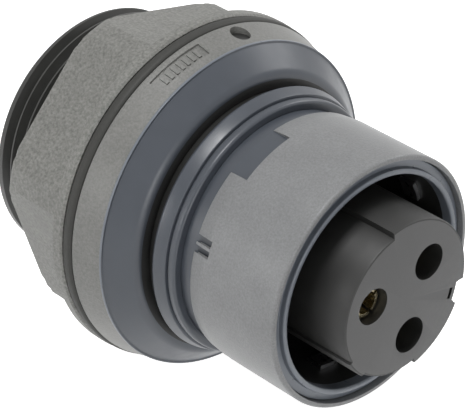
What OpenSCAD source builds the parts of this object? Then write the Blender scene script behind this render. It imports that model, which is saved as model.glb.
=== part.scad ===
// Push-pull circular power connector for a panel, socket side.
// The axis of the connector is X: the plug leaves along +X, the wires leave along -X.
// The origin is the centre of the flange's rear face, where the gasket and the panel seat.
// Angles around the axis are counted from +Y towards +Z.

/* [Front tube] */
// Diameter of the mouth that the plug's shell enters
mouth_d = 23.3; // [22:0.1:24.4]
// Wall of the tube inside the sleeve
tube_wall = 0.95; // [0.85:0.05:1.2]
// Wall of the tube's end inside the nose ring
spigot_wall = 0.45; // [0.35:0.05:0.55]
// Distance of the partition's rear face behind the flange face
partition_set = 1; // [0.5:0.1:2]
// Thickness of the partition that holds the insert
partition_t = 6; // [5:0.5:8]
// Height of the polarising rib inside the mouth
key_h = 0.8; // [0.4:0.1:1]
// Length of the polarising rib
key_len = 6; // [4:0.5:8]

/* [Threaded tail] */
// Radial step from the hub up to the panel thread
seat_step = 0.9; // [0.7:0.05:1.2]
// Length of the tail behind the flange
tail_len = 18.7; // [18:0.1:22]
// Wall of the tail around the wire space
tail_wall = 3; // [2.4:0.1:3.4]
// Chamfer on the end of the thread
tail_chamfer = 0.8; // [0.3:0.1:1.2]

/* [Hex nut] */
// Wall of the nut at the middle of a flat
nut_wall = 2; // [1.6:0.1:3]
// Height that is turned off each corner
nut_corner_cut = 0.68; // [0.4:0.02:1]
// Length of the nut with its flange
nut_len = 10.7; // [9:0.1:11]
// Distance that the nut's flange stands outside the rim
nut_flange_proud = 0.25; // [0:0.05:0.6]
// Thickness of the nut's flange
nut_flange_t = 1.5; // [1:0.1:2]
// Length of the cone that blends the hexagon into its flange
nut_cone_len = 2; // [1:0.1:3]
// Chamfer around the rear face of the nut
nut_chamfer = 0.7; // [0.3:0.1:1]
// Radial play between the thread and the nut
thread_play = 0.08; // [0.05:0.01:0.1]

/* [Panel gasket] */
// Thickness of the gasket
gasket_t = 1.3; // [0.8:0.1:2]
// Distance that the gasket stands outside the rim
gasket_proud = 0.15; // [0:0.05:0.4]
// Radial play between the thread and the gasket
gasket_play = 0.2; // [0.1:0.05:0.4]

/* [Flange shell] */
// Distance that the textured rim stands outside the thread
rim_reach = 5; // [4.6:0.05:6]
// Width of the textured rim
rim_len = 3.7; // [3.3:0.1:4]
// Radial draft of the rim, rear to front
rim_draft = 0.85; // [0.6:0.05:1]
// Height of the fine ridge that ends the rim
ridge_h = 0.08; // [0.04:0.02:0.2]
// Width of the fine ridge
ridge_w = 0.3; // [0.2:0.1:0.5]
// Step from the rim down to the smooth shoulder
shoulder_step = 0.2; // [0.1:0.05:0.4]
// Slope of the shoulder against the axis, in degrees
shoulder_slope = 43; // [39:1:47]
// Radius that rounds the shoulder's front
shoulder_round = 1.4; // [1:0.1:1.8]
// Distance of the shell's front from the flange face
shell_len = 6.2; // [5.8:0.1:6.8]
// Thickness of the flange web on the hub
web_t = 3; // [2.4:0.1:3.4]
// Depth of the shell's seat on the tail
seat_depth = 1.6; // [1.4:0.1:1.8]
// Depth of the sunk nameplate area on the rim
plate_sink = 0.25; // [0.1:0.05:0.3]
// Width of the sunk nameplate area
plate_w = 1.7; // [1.4:0.1:2]
// Diameter of the round sunk mark beside it
mark_d = 2.2; // [1.8:0.1:2.6]
// Depth of the round sunk mark at its centre
mark_sink = 0.5; // [0.4:0.05:0.7]

/* [Collar ring] */
// Wall of the collar ring inside the shell
collar_wall = 0.75; // [0.6:0.05:0.9]
// Width of the groove between the shell and the bead
groove_w = 1.1; // [0.8:0.1:1.4]
// Height of the bead above the groove
bead_h = 0.95; // [0.6:0.05:1.2]
// Length of the bead
bead_len = 1.65; // [1.4:0.05:2]
// Radius on the bead's crest
bead_round = 0.4; // [0.2:0.05:0.6]
// Height that the bead loses towards the plug
bead_fall = 0.5; // [0.2:0.05:0.7]
// Height of the front step above the groove
step_h = 0.2; // [0.1:0.05:0.4]
// Length of the front step
step_len = 1.05; // [0.8:0.05:1.6]
// Radius on the front step's edge
step_round = 0.35; // [0.2:0.05:0.5]

/* [Release sleeve] */
// Wall of the sleeve
sleeve_wall = 0.55; // [0.5:0.05:0.8]
// Length of the sleeve
sleeve_len = 12; // [11.8:0.05:14]
// Distance that the sleeve pulls back
sleeve_travel = 1.4; // [1:0.1:1.4]
// Gap that is left behind the sleeve when it is pulled back
sleeve_stop_play = 0.4; // [0.1:0.05:0.5]
// Radial gap between the tube and the sleeve, for the spring
spring_gap = 0.6; // [0.56:0.02:0.8]
// Radial play between the hub and the sleeve
hub_play = 0.1; // [0.06:0.02:0.2]
// Length of the ramp behind the grip
ramp_len = 1.8; // [1:0.1:2]
// Height of the ramp behind the grip
ramp_h = 0.2; // [0.05:0.05:0.25]
// Radius of the front outer edge
sleeve_round = 0.45; // [0.2:0.05:0.5]
// Thickness of the land that locks the latches
land_t = 0.7; // [0.5:0.1:1]
// Thickness of the rib that stops the sleeve
rib_t = 0.85; // [0.6:0.05:1]
// Length of the three wide grip recesses
recess_len = 2.4; // [1.8:0.1:2.6]
// Depth of the three wide grip recesses
recess_depth = 0.3; // [0.1:0.05:0.35]
// Angle that a wide grip recess spans
recess_span = 26.6; // [20:0.2:30]
// Depth of the small notches
notch_depth = 2.2; // [1:0.1:2.3]
// Angle that a small notch spans
notch_span = 3.3; // [2:0.1:4]
// Radial play of everything that slides on the tube
slide_play = 0.08; // [0.05:0.01:0.09]

/* [Nose ring] */
// Wall of the bright lip around the mouth
lip_wall = 0.6; // [0.5:0.05:0.8]
// Length of the lip in front of the nose flange
lip_len = 0.7; // [0.4:0.1:1]
// Thickness of the flange that retains the sleeve
nose_flange_t = 0.6; // [0.4:0.1:0.8]
// Length of the skirt on the tube's end
nose_skirt_len = 1.8; // [1.4:0.1:2]

/* [Latches] */
// Length of a latch tooth
tooth_len = 2; // [1.6:0.1:2.2]
// Width of a latch tooth
tooth_w = 2.4; // [1.8:0.1:2.8]
// Reach of a tooth into the mouth
tooth_reach = 0.4; // [0.2:0.05:0.45]
// Radial lift of a latch
latch_lift = 0.5; // [0.45:0.01:0.5]
// Ledge of the latch head around its tooth
head_ledge = 0.4; // [0.3:0.05:0.5]
// Depth of the latch head's top below the tube's surface
head_sink = 0.15; // [0.1:0.05:0.2]
// Wall that is left under a latch head
pocket_wall = 0.35; // [0.25:0.05:0.4]

/* [Return spring] */
// Wire diameter
spring_wire = 0.35; // [0.25:0.01:0.38]
// Turns of the spring
spring_turns = 3; // [2:0.5:3]

/* [Contact insert] */
// Diameter of the insert's core
insert_d = 16.4; // [16:0.1:16.6]
// Distance that the insert stands in front of the lip
insert_proud = 4.3; // [2:0.1:6]
// Radial height of the broad raised face
lobe_h = 0.65; // [0.3:0.05:0.9]
// Radial height of the narrow raised face
side_lobe_h = 0.5; // [0.2:0.05:0.8]
// Depth of the keyway
keyway_depth = 0.3; // [0.2:0.05:0.5]
// Length of the raised faces
lobe_len = 16; // [12:0.5:18]
// Radial play of the insert's collar in the tail
insert_collar_play = 0.2; // [0.05:0.05:0.4]
// Thickness of the insert's collar
insert_collar_t = 3; // [2:0.1:4]
// Circle that the three contacts lie on
contact_pcd = 9.2; // [9:0.1:9.4]
// Diameter of the section of the insert's O-ring
oring_section = 0.96; // [0.8:0.02:1]
// Thickness of the flat seal on the floor of the mouth
seal_t = 1.2; // [0.8:0.1:1.6]

/* [Contacts] */
// Outer diameter of a contact
contact_d = 3.6; // [3.4:0.05:3.7]
// Radial play of a contact in its chamber
chamber_play = 0.16; // [0.1:0.02:0.2]
// Bore of a socket
socket_d = 2.5; // [2.2:0.1:2.6]
// Depth of a socket
socket_depth = 9; // [7:0.5:10]
// Width of the slots that split a socket
split_w = 0.35; // [0.2:0.05:0.5]
// Length of the slots that split a socket
split_len = 5; // [3:0.5:6]
// Bore of a wire cup
cup_d = 2.9; // [2.8:0.05:3]
// Depth of a wire cup
cup_depth = 4.2; // [3:0.1:4.4]
// Distance of a live contact behind the insert's face
contact_set = 4; // [2:0.5:5]
// Distance of the first-mating contact behind the insert's face
first_contact_set = 1; // [0.5:0.1:2]
// Height of a contact's shoulder
shoulder_h = 0.55; // [0.4:0.05:0.7]
// Length of a contact's shoulder
shoulder_len = 1.9; // [1.4:0.1:2.4]
// Radial play around contacts and fixed round pieces
seat_play = 0.05; // [0.02:0.01:0.08]
// Width of a contact's spring clip
clip_w = 1; // [0.6:0.1:1.4]
// Depth of the clip's groove in the contact
clip_groove = 0.3; // [0.2:0.05:0.35]
// Angle of the gap in a spring clip
clip_opening = 60; // [30:5:90]

/* [Rear closure] */
// Thickness of the rear insulator
insulator_t = 5; // [4.6:0.2:6]
// Thickness of the ring that retains it
retainer_t = 3; // [2:0.2:3]
// Radial width of the retaining ring
retainer_w = 3.45; // [2.5:0.05:3.8]
// Width of the ring's slots for a key
key_slot_w = 2; // [1.5:0.1:2.5]
// Depth of the ring's slots for a key
key_slot_depth = 1.2; // [0.8:0.1:1.6]
// Length of a wire cup behind the insulator
cup_len = 5; // [4.6:0.1:5]

/* [Hidden] */
$fn = 96;

// Angles around the axis
contact_angles = [43.2, 163.2, 283.2];
latch_angles = [23, 143, 263];
recess_angles = [113.7, 233.7, 353.7];
notch_angles = [157.7, 162.3];
key_angle = 7;
key_half_angle = 1.6;
nut_flat_angle = 18.4;
plate_span = [97.5, 118.5];
plate_bar_pitch = 2.4;
plate_bar_span = 1.1;
mark_angle = 82;
lobe_span = [-7.5, 103];
side_lobe_span = [-76, -25];
small_lobe_span = [-150, -130];
keyway_span = [-24, -8];
face_slot_span = [-22, -12];

over = 1;                    // how far a cutting shape runs past what it cuts
stop_gap = 0.05;             // gap at a stop
latch_gap = 0.2;             // gap between a latch head and the sleeve's rib
edge = 0.1;                  // break of the lip's edges
plate_x = 0.75;              // flange face to the nameplate area
plate_margin = 0.3;          // nameplate area's edge to its bars
bar_h = 0.15;                // height of a nameplate bar above the sunk area
face_slot_inset = 0.9;       // insert's edge to the small slot in its face
face_slot_w = 0.4;
face_slot_depth = 0.8;

// Radii, from the mouth outwards
mouth_r = mouth_d / 2;
spigot_r = mouth_r + spigot_wall;
tube_r = mouth_r + tube_wall;
lip_r = mouth_r + lip_wall;
sleeve_bore_r = tube_r + spring_gap;
sleeve_r = sleeve_bore_r + sleeve_wall;
hub_r = sleeve_bore_r - hub_play;
thread_r = hub_r + seat_step;
tail_bore_r = thread_r - tail_wall;
rim_r = thread_r + rim_reach;
rim_front_r = rim_r - rim_draft;
gasket_r = rim_r + gasket_proud;
nut_flange_r = rim_r + nut_flange_proud;
nut_flat_r = thread_r + nut_wall;
nut_corner_r = nut_flat_r / cos(30) - nut_corner_cut;
groove_r = hub_r + seat_play + collar_wall;
land_r = tube_r + slide_play;
head_r = tube_r - head_sink;
pocket_floor = mouth_r + pocket_wall;
insert_r = insert_d / 2;
insert_collar_r = tail_bore_r - insert_collar_play;
partition_bore_r = insert_r + 2 * seat_play;
retainer_r = tail_bore_r - seat_play;
contact_r = contact_d / 2;
contact_collar_r = contact_r + shoulder_h;
chamber_r = contact_r + chamber_play;
contact_pcr = contact_pcd / 2;
oring_r = oring_section / 2;
shell_seal_r = 0.37;

// Places along the axis, from the tail to the insert's face
tail_x0 = -tail_len;
nut_x1 = -gasket_t;
nut_x0 = nut_x1 - nut_len;
nut_flange_x0 = nut_x1 - nut_flange_t;
partition_x0 = -partition_set;
mouth_floor_x = partition_x0 + partition_t;
bead_x0 = shell_len + groove_w;
bead_x1 = bead_x0 + bead_len;
collar_x1 = bead_x1 + step_len;
sleeve_x0 = collar_x1 + sleeve_travel + sleeve_stop_play;
sleeve_x1 = sleeve_x0 + sleeve_len;
hub_x1 = sleeve_x0 + recess_len + stop_gap;
nose_x1 = sleeve_x1;
nose_flange_x1 = nose_x1 - lip_len;
nose_flange_x0 = nose_flange_x1 - nose_flange_t;
nose_x0 = nose_flange_x0 - nose_skirt_len;
rib_x1 = nose_flange_x0 - stop_gap;
rib_x0 = rib_x1 - rib_t;
head_len = tooth_len + 2 * head_ledge;
latch_x = rib_x0 - sleeve_travel - latch_gap - head_len / 2;
crest_len = 0.4;
land_x1 = latch_x - tooth_len / 2;
land_x0 = land_x1 - land_t;
insert_face_x = nose_x1 + insert_proud;
insert_x0 = partition_x0 - insert_collar_t;
clip_x = insert_x0 + insert_collar_t / 2;
insulator_x0 = insert_x0 - insulator_t;
retainer_x0 = insulator_x0 - retainer_t;
cup_x0 = insulator_x0 - cup_len;
groove_for_oring = oring_section + 0.4;
insert_groove_x = (partition_x0 + mouth_floor_x) / 2;
shell_groove_w = 1;
shell_groove_x = (seat_depth - shell_groove_w) / 2;

// A solid of revolution about the axis: points are [x, radius].
module turned(points) rotate([0, 90, 0]) rotate_extrude() polygon([for (p = points) [p[1], p[0]]]);

// A plain rod along the axis.
module rod(r, x0, x1) translate([x0, 0, 0]) rotate([0, 90, 0]) cylinder(r = r, h = x1 - x0);

// A tube along the axis.
module tube(r_out, r_in, x0, x1) difference() {
    rod(r_out, x0, x1);
    rod(r_in, x0 - over, x1 + over);
}

// A part of a tube between two angles.
module sector(r_in, r_out, x0, x1, a0, a1)
    rotate([0, 90, 0]) rotate([0, 0, a0 + 90])
        rotate_extrude(angle = a1 - a0) polygon([[r_in, x0], [r_out, x0], [r_out, x1], [r_in, x1]]);

// Points of an arc in the [x, radius] plane.
function arc(cx, cr, r, a0, a1, n = 8) =
    [for (i = [0:n]) let (a = a0 + (a1 - a0) * i / n) [cx + r * cos(a), cr + r * sin(a)]];

// A block on the +Y side: along x, from one height to another, with a width around the axis.
module block(x0, x1, h0, h1, w, angle) rotate([angle, 0, 0])
    translate([x0, h0, -w / 2]) cube([x1 - x0, h1 - h0, w]);

// Moves a rod's axis onto the contact circle.
module on_contact_circle(i) rotate([contact_angles[i], 0, 0]) translate([0, contact_pcr, 0]) children();

// Threaded tail, partition and front tube, moulded as one piece.
module housing() color("#2c2c2a") {
    difference() {
        turned([[tail_x0, tail_bore_r], [tail_x0, thread_r - tail_chamfer],
                [tail_x0 + tail_chamfer, thread_r], [seat_depth, thread_r], [seat_depth, hub_r],
                [hub_x1, hub_r], [hub_x1, tube_r], [nose_x0 - stop_gap, tube_r],
                [nose_x0 - stop_gap, spigot_r], [nose_flange_x0, spigot_r],
                [nose_flange_x0, mouth_r], [mouth_floor_x, mouth_r], [mouth_floor_x, partition_bore_r],
                [partition_x0, partition_bore_r], [partition_x0, tail_bore_r]]);
        tube(thread_r + over, thread_r - 2 * shell_seal_r, shell_groove_x, shell_groove_x + shell_groove_w);
        for (a = latch_angles) {
            block(latch_x - tooth_len / 2 - seat_play, latch_x + tooth_len / 2 + seat_play,
                  mouth_r - over, tube_r + over, tooth_w + 2 * seat_play, a);
            block(latch_x - head_len / 2 - seat_play, latch_x + head_len / 2 + seat_play,
                  pocket_floor, tube_r + over, tooth_w + 2 * head_ledge + 2 * seat_play, a);
        }
    }
    sector(mouth_r - key_h, mouth_r + 0.1, nose_flange_x0 - key_len, nose_flange_x0,
           key_angle - key_half_angle, key_angle + key_half_angle);
}

// Radius of the rim's drafted surface at a place along the axis.
function rim_surface(x) = rim_r - rim_draft * x / (rim_len - ridge_w);

// A part of the rim's skin between two angles and two heights above its surface.
module rim_sector(h0, h1, x0, x1, a0, a1)
    rotate([0, 90, 0]) rotate([0, 0, a0 + 90]) rotate_extrude(angle = a1 - a0)
        polygon([[rim_surface(x0) + h0, x0], [rim_surface(x0) + h1, x0],
                 [rim_surface(x1) + h1, x1], [rim_surface(x1) + h0, x1]]);

// Outer flange: textured rim, then a smooth shoulder that slopes and rounds down to the groove.
module flange_shell() color("#7d8083") difference() {
    plate_x1 = plate_x + plate_w;
    mark_x = plate_x + plate_w / 2;
    shoulder_r = rim_front_r - shoulder_step;
    round_x = shell_len - shoulder_round;
    round_r = shoulder_r - (round_x - rim_len) * tan(shoulder_slope) - shoulder_round / cos(shoulder_slope);
    turned(concat([[0, thread_r + seat_play], [0, rim_r], [rim_len - ridge_w, rim_front_r],
                   [rim_len - ridge_w, rim_front_r + ridge_h], [rim_len, rim_front_r + ridge_h],
                   [rim_len, shoulder_r]],
                  arc(round_x, round_r, shoulder_round, 90 - shoulder_slope, 0, 12),
                  [[shell_len, groove_r + seat_play], [web_t, groove_r + seat_play],
                   [web_t, hub_r + seat_play], [seat_depth, hub_r + seat_play],
                   [seat_depth, thread_r + seat_play]]));
    difference() {
        rim_sector(-plate_sink, over, plate_x, plate_x1, plate_span[0], plate_span[1]);
        for (a = [plate_span[0] + plate_bar_pitch : plate_bar_pitch : plate_span[1] - plate_bar_pitch])
            rim_sector(-plate_sink - over, bar_h - plate_sink, plate_x + plate_margin,
                       plate_x1 - plate_margin, a, a + plate_bar_span);
    }
    rotate([mark_angle, 0, 0]) translate([mark_x, rim_surface(mark_x) - mark_sink, 0])
        rotate([-90, 0, 0]) cylinder(d = mark_d, h = over);
}

// Smooth ring in front of the shell: groove, rounded bead and front step.
module collar_ring() color("#4b5058") {
    crest_r = groove_r + bead_h;
    step_r = groove_r + step_h;
    turned(concat([[web_t, hub_r + seat_play], [web_t, groove_r], [bead_x0, groove_r]],
                  arc(bead_x0 + bead_round, crest_r - bead_round, bead_round, 180, 75, 6),
                  [[bead_x1, crest_r - bead_fall], [bead_x1, groove_r],
                   [bead_x1 + stop_gap, groove_r], [bead_x1 + 2 * stop_gap + edge, step_r]],
                  arc(collar_x1 - step_round, step_r - step_round, step_round, 90, 0, 6),
                  [[collar_x1, hub_r + seat_play]]));
}

// Grip sleeve: pulling it back frees the latches.
module release_sleeve() color("#8a8b8a") difference() {
    turned(concat([[sleeve_x0, sleeve_bore_r], [sleeve_x0, sleeve_r - ramp_h], [sleeve_x0 + ramp_len, sleeve_r]],
                  arc(sleeve_x1 - sleeve_round, sleeve_r - sleeve_round, sleeve_round, 90, 0),
                  [[sleeve_x1, sleeve_bore_r], [rib_x1, sleeve_bore_r], [rib_x1, land_r],
                   [rib_x0, land_r], [rib_x0, sleeve_bore_r],
                   [land_x1 + (sleeve_bore_r - land_r) * sleeve_travel / latch_lift, sleeve_bore_r],
                   [land_x1, land_r], [land_x0, land_r], [land_x0, sleeve_bore_r]]));
    for (a = recess_angles)
        sector(sleeve_r - recess_depth, sleeve_r + over, sleeve_x0 - over, sleeve_x0 + recess_len,
               a - recess_span / 2, a + recess_span / 2);
    for (turn = [0, 120, 240], a = notch_angles)
        sector(sleeve_bore_r - over, sleeve_r + over, sleeve_x0 - over, sleeve_x0 + notch_depth,
               a + turn - notch_span / 2, a + turn + notch_span / 2);
}

// Front ring on the tube's end: its flange retains the sleeve and its lip frames the mouth.
module nose_ring() color("#8d949b") turned(
    [[nose_x0, spigot_r + seat_play], [nose_x0, tube_r], [nose_flange_x0, tube_r],
     [nose_flange_x0, sleeve_bore_r - slide_play], [nose_flange_x1, sleeve_bore_r - slide_play],
     [nose_flange_x1, lip_r], [nose_x1 - edge, lip_r], [nose_x1, lip_r - edge],
     [nose_x1, mouth_r + edge], [nose_x1 - edge, mouth_r], [nose_flange_x0 + seat_play, mouth_r],
     [nose_flange_x0 + seat_play, spigot_r + seat_play]]);

// Flanged hexagon nut on the tail thread.
module hex_nut() color("#9a9a96") difference() {
    union() {
        intersection() {
            translate([nut_x0, 0, 0]) rotate([nut_flat_angle, 0, 0]) rotate([0, 90, 0])
                cylinder(r = nut_flat_r / cos(30), h = nut_len, $fn = 6);
            turned([[nut_x0, 0], [nut_x0, nut_corner_r - nut_chamfer],
                    [nut_x0 + nut_chamfer, nut_corner_r], [nut_x1, nut_corner_r], [nut_x1, 0]]);
        }
        turned([[nut_flange_x0 - nut_cone_len, 0], [nut_flange_x0 - nut_cone_len, nut_flat_r + 2 * edge],
                [nut_flange_x0, nut_flange_r - 3 * edge], [nut_flange_x0 + 3 * edge, nut_flange_r],
                [nut_x1, nut_flange_r], [nut_x1, 0]]);
    }
    rod(thread_r + thread_play, nut_x0 - over, nut_x1 + over);
    turned([[nut_x0 - over, 0], [nut_x0 - over, thread_r + nut_chamfer + over],
            [nut_x0 + nut_chamfer, thread_r], [nut_x0 + nut_chamfer, 0]]);
}

// Flat rubber gasket against the flange face.
module panel_gasket() color("#33332f") tube(gasket_r, thread_r + gasket_play, -gasket_t, 0);

// A raised face along the front of the insert.
module insert_lobe(height, span)
    sector(insert_r - over, insert_r + height, insert_face_x - lobe_len, insert_face_x, span[0], span[1]);

// Insulating insert with its keyed front face and three contact chambers.
module contact_insert() color("#5c5c5b") difference() {
    union() {
        rod(insert_r, insert_x0, insert_face_x);
        rod(insert_collar_r, insert_x0, partition_x0);
        insert_lobe(lobe_h, lobe_span);
        insert_lobe(side_lobe_h, side_lobe_span);
        insert_lobe(side_lobe_h / 2, small_lobe_span);
    }
    sector(insert_r - keyway_depth, insert_r + over, insert_face_x - lobe_len, insert_face_x + over,
           keyway_span[0], keyway_span[1]);
    sector(insert_r - face_slot_inset - face_slot_w, insert_r - face_slot_inset,
           insert_face_x - face_slot_depth, insert_face_x + over, face_slot_span[0], face_slot_span[1]);
    tube(insert_r + over, partition_bore_r - 2 * oring_r - seat_play,
         insert_groove_x - groove_for_oring / 2, insert_groove_x + groove_for_oring / 2);
    for (i = [0:2]) on_contact_circle(i) rod(chamber_r, insert_x0 - over, insert_face_x + over);
}

// Rear plate that backs the contacts' shoulders.
module rear_insulator() color("#4a4a49") difference() {
    rod(insert_collar_r, insulator_x0, insert_x0);
    for (i = [0:2]) on_contact_circle(i) {
        rod(chamber_r, insulator_x0 - over, insert_x0 + over);
        rod(contact_collar_r + seat_play, insert_x0 - shoulder_len - 2 * seat_play, insert_x0 + over);
    }
}

// Ring that retains the rear insulator, with four slots for a key.
module insert_retainer() color("#6f7275") difference() {
    tube(retainer_r, retainer_r - retainer_w, retainer_x0, insulator_x0);
    for (a = [0, 90, 180, 270])
        block(retainer_x0 - over, retainer_x0 + key_slot_depth, retainer_r - retainer_w - over,
              retainer_r + over, key_slot_w, a);
}

// Turned contact: split socket in front, shoulder, and wire cup behind.
module socket_contact(i, set_back) color("#c9a24a") on_contact_circle(i) difference() {
    front = insert_face_x - set_back;
    turned([[cup_x0, 0], [cup_x0, contact_r - 2 * edge], [cup_x0 + 2 * edge, contact_r],
            [insert_x0 - shoulder_len, contact_r], [insert_x0 - shoulder_len, contact_collar_r],
            [insert_x0, contact_collar_r], [insert_x0, contact_r],
            [front - 2 * edge, contact_r], [front, contact_r - 2 * edge], [front, 0]]);
    rod(socket_d / 2, front - socket_depth, front + over);
    rod(cup_d / 2, cup_x0 - over, cup_x0 + cup_depth);
    for (a = [45, 135]) rotate([a, 0, 0]) translate([front - split_len, -contact_r - over, -split_w / 2])
        cube([split_len + over, contact_d + 2 * over, split_w]);
    tube(contact_r + over, contact_r - clip_groove, clip_x - clip_w / 2 - seat_play,
         clip_x + clip_w / 2 + seat_play);
}

// Split spring ring that holds a contact in its chamber.
module contact_clip(i) color("#b9b9b4") on_contact_circle(i)
    sector(contact_r - clip_groove + seat_play / 2, chamber_r - seat_play / 2,
           clip_x - clip_w / 2, clip_x + clip_w / 2, clip_opening / 2, 360 - clip_opening / 2);

// Flat seal on the floor of the mouth.
module interface_seal() color("#2a2a29")
    tube(mouth_r - seat_play, insert_r + seat_play, mouth_floor_x, mouth_floor_x + seal_t);

// O-ring between the insert and the partition.
module insert_oring() color("#242423") rotate([0, 90, 0]) rotate_extrude()
    translate([partition_bore_r - oring_r - 0.01, insert_groove_x]) circle(r = oring_r, $fn = 48);

// O-ring between the tail and the flange shell.
module shell_seal() color("#242423") rotate([0, 90, 0]) rotate_extrude()
    translate([thread_r - shell_seal_r + 0.02, shell_groove_x + shell_groove_w / 2])
        circle(r = shell_seal_r - 0.01, $fn = 48);

// Coil spring between the hub and the sleeve's land, swept ring by ring.
module return_spring() color("#a9abad") {
    sides = 8;
    steps = 40;
    coil_r = (tube_r + sleeve_bore_r) / 2;
    x_first = hub_x1 + spring_wire / 2 + stop_gap;
    x_last = land_x0 - spring_wire / 2 - stop_gap;
    count = steps * spring_turns;
    points = [for (i = [0:count]) let (a = 360 * i / steps, x = x_first + (x_last - x_first) * i / count)
              for (s = [0:sides - 1]) let (b = 360 * s / sides, r = coil_r + spring_wire / 2 * cos(b))
              [x + spring_wire / 2 * sin(b), r * cos(a), r * sin(a)]];
    walls = [for (i = [0:count - 1], s = [0:sides - 1]) let (t = (s + 1) % sides)
             [i * sides + s, (i + 1) * sides + s, (i + 1) * sides + t, i * sides + t]];
    ends = [[for (s = [0:sides - 1]) s], [for (s = [sides - 1:-1:0]) count * sides + s]];
    polyhedron(points, concat(walls, ends));
}

// Latch: a tooth through the tube wall under a head that the sleeve's land holds down.
module latch(angle) color("#b4b6b8") intersection() {
    turned([[latch_x - head_len / 2, mouth_r - tooth_reach], [latch_x - head_len / 2, head_r],
            [land_x1, head_r], [land_x1, tube_r], [land_x1 + crest_len, tube_r],
            [land_x1 + 2 * crest_len, head_r], [latch_x + head_len / 2, head_r],
            [latch_x + head_len / 2, mouth_r - tooth_reach]]);
    union() {
        block(latch_x - tooth_len / 2, latch_x + tooth_len / 2, 0, tube_r + over, tooth_w, angle);
        block(latch_x - head_len / 2, latch_x + head_len / 2, pocket_floor + seat_play, tube_r + over,
              tooth_w + 2 * head_ledge, angle);
    }
}

housing();
flange_shell();
collar_ring();
release_sleeve();
nose_ring();
hex_nut();
panel_gasket();
contact_insert();
rear_insulator();
insert_retainer();
socket_contact(0, contact_set);  // socket_contact_1
socket_contact(1, first_contact_set);  // socket_contact_2
socket_contact(2, contact_set);  // socket_contact_3
contact_clip(0);  // contact_clip_1
contact_clip(1);  // contact_clip_2
contact_clip(2);  // contact_clip_3
interface_seal();
insert_oring();
shell_seal();
return_spring();
latch(latch_angles[0]);  // latch_1
latch(latch_angles[1]);  // latch_2
latch(latch_angles[2]);  // latch_3
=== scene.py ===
# %% [markdown]
# # A push-pull power connector for a panel
#
# The real part is a circular connector of moulded nylon. A hexagon nut on its threaded tail
# clamps it in a panel, a flange with a rounded shoulder stands in front of the panel, and a
# release sleeve slides on the tube that holds the keyed contact insert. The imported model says
# where every piece is. The cells below give each visible piece a finely rounded surface worked
# out with numpy, and a material that starts from how the real surface was made.

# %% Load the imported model
import math

import bpy
import numpy as np
from mathutils import Matrix, Vector


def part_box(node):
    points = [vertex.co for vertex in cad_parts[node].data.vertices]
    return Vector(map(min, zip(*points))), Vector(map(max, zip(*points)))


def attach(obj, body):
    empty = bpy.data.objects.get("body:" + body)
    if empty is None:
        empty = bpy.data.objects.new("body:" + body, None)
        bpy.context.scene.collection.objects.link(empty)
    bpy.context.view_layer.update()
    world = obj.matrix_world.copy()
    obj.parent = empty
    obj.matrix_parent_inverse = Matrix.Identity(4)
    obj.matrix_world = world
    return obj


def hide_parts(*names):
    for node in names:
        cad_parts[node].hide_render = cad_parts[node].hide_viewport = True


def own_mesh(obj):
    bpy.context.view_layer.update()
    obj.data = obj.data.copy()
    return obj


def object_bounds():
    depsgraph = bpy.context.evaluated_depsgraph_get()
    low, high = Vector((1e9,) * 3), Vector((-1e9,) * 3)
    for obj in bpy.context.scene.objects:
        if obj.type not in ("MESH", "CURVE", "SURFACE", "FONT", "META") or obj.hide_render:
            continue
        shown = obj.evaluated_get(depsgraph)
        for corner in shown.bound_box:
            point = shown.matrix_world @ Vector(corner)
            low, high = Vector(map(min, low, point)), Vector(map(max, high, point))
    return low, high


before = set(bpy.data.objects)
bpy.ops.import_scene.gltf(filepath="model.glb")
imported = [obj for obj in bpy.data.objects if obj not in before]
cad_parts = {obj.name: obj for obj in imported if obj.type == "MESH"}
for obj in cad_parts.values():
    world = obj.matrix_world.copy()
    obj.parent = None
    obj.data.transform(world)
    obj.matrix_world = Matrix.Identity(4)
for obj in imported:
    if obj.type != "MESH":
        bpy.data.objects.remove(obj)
cad_low, cad_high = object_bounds()
MM = 0.001
print("nodes:", len(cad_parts), "box in mm:", [round(v / MM, 1) for v in cad_high - cad_low])

# %% [markdown]
# ## Where things are
#
# The connector's axis is X, with the plug's side at +X. A turned piece needs only its places
# along X and its radii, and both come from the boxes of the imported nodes. Sizes that a box
# can't tell, such as a fillet, are named beside the piece that uses them.

# %% Places and radii from the boxes of the nodes
def span(node):
    """First and last place of a node along the axis."""
    low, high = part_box(node)
    return low.x, high.x


def radius(node):
    """Outer radius of a node that is turned about the axis."""
    low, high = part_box(node)
    return max(high.y, high.z, -low.y, -low.z)


tail_x0, tube_x1 = span("housing")
nut_x0, nut_x1 = span("hex_nut")
gasket_x0, gasket_x1 = span("panel_gasket")
shell_x0, shell_x1 = span("flange_shell")
collar_x0, collar_x1 = span("collar_ring")
sleeve_x0, sleeve_x1 = span("release_sleeve")
nose_x0, nose_x1 = span("nose_ring")
insert_x0, insert_x1 = span("contact_insert")
insulator_x0, insulator_x1 = span("rear_insulator")
retainer_x0, retainer_x1 = span("insert_retainer")
seal_x0, seal_x1 = span("interface_seal")
latch_x0, latch_x1 = span("latch_1")

thread_r = radius("housing")
sleeve_r = radius("release_sleeve")
nose_flange_r = radius("nose_ring")
shell_r = radius("flange_shell")
SEAT_PLAY = 0.05 * MM
mouth_r = radius("interface_seal") + SEAT_PLAY
print("sleeve radius in mm:", round(sleeve_r / MM, 2), "thread radius:", round(thread_r / MM, 2))

# %% [markdown]
# ## A surface from a grid of points
#
# Every new piece is a grid: rows follow a profile, and columns go round the axis. The grid
# closes on itself round the axis, and its first and last rows either join, as on a ring with
# a bore, or each close on a centre point, as on a solid rod. The sign of the enclosed volume
# tells whether the faces point outwards, and they are turned round where they don't.

# %% Grid to closed mesh
SHARP = math.radians(24)


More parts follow.
